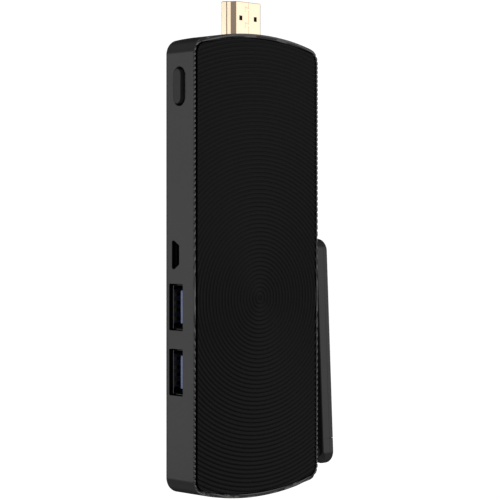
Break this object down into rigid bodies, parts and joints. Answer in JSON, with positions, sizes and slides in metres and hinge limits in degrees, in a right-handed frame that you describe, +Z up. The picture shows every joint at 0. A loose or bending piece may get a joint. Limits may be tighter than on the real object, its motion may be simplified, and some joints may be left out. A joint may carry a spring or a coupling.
{
  "type": "hdmi stick computer",
  "caption": "Slim stick computer with a fixed display plug on its end, ridged front panel, side sockets, a power button and a swivelling paddle antenna.",
  "frame": {"origin": "plug axis where the plug leaves the case, at the crown of the case's top end and the middle of its depth", "axes": "+X to the right seen from the front panel, +Y from the front panel to the rear wall, +Z up along the plug"},
  "size_m": [0.0611, 0.0126, 0.1447],
  "materials": {
    "case_plastic": "fine spark-eroded texture",
    "panel_plastic": "satin black with moulded ridges",
    "button_plastic": "fine matt",
    "antenna_plastic": "fine matt",
    "gold_plate": "bright gold plate on folded sheet",
    "contact_gold": "bright",
    "socket_steel": "satin stamped sheet",
    "tongue_blue": "semi-gloss",
    "black_plastic": "semi-matt",
    "circuit_board": "solder mask",
    "chip_epoxy": "moulded epoxy",
    "aluminium": "satin",
    "tin_plate": "tinned sheet",
    "ceramic": "fired ceramic",
    "ferrite": "sintered",
    "silicone_pad": "soft",
    "tape": "adhesive film",
    "pivot_brass": "turned",
    "spring_steel": "blanked",
    "coax_jacket": "smooth jacket"
  },
  "bodies": {
    "case": {"rear_case": "case_plastic", "front_panel": "panel_plastic", "panel_tape": "tape", "main_board": "circuit_board", "soc": "chip_epoxy", "memory_chips": "chip_epoxy", "storage_chip": "chip_epoxy", "hub_chip": "chip_epoxy", "wifi_module": "tin_plate", "inductors": "ferrite", "capacitors": "ceramic", "crystal": "tin_plate", "heat_spreader": "aluminium", "thermal_pad": "silicone_pad", "spreader_screws": "spring_steel", "board_screws": "spring_steel", "hdmi_shell": "gold_plate", "hdmi_insert": "black_plastic", "hdmi_contacts": "contact_gold", "usb_shell_upper": "socket_steel", "usb_tongue_upper": "tongue_blue", "usb_contacts_upper": "contact_gold", "usb_shell_lower": "socket_steel", "usb_tongue_lower": "tongue_blue", "usb_contacts_lower": "contact_gold", "micro_usb_shell": "socket_steel", "micro_usb_tongue": "black_plastic", "micro_usb_contacts": "contact_gold", "switch_body": "tin_plate", "antenna_socket": "contact_gold", "antenna_plug": "contact_gold", "antenna_lead": "coax_jacket"},
    "antenna": {"antenna_shell": "antenna_plastic", "antenna_cover": "antenna_plastic", "pivot_cap": "antenna_plastic", "pivot_tube": "pivot_brass", "pivot_washer": "spring_steel", "pivot_clip": "spring_steel", "antenna_element": "circuit_board", "antenna_tail": "coax_jacket"},
    "button": {"power_button": "button_plastic", "switch_plunger": "black_plastic"}
  },
  "joints": [
    {"name": "antenna_swivel", "type": "hinge", "parent": "case", "child": "antenna", "pos_m": [0.0285, -0.0004, -0.1251], "axis": [1, 0, 0], "range_deg": [0, 180]},
    {"name": "power_button_press", "type": "slide", "parent": "case", "child": "button", "axis": [1, 0, 0], "range_m": [0, 0.0004], "stiffness_N_per_m": 3000}
  ]
}
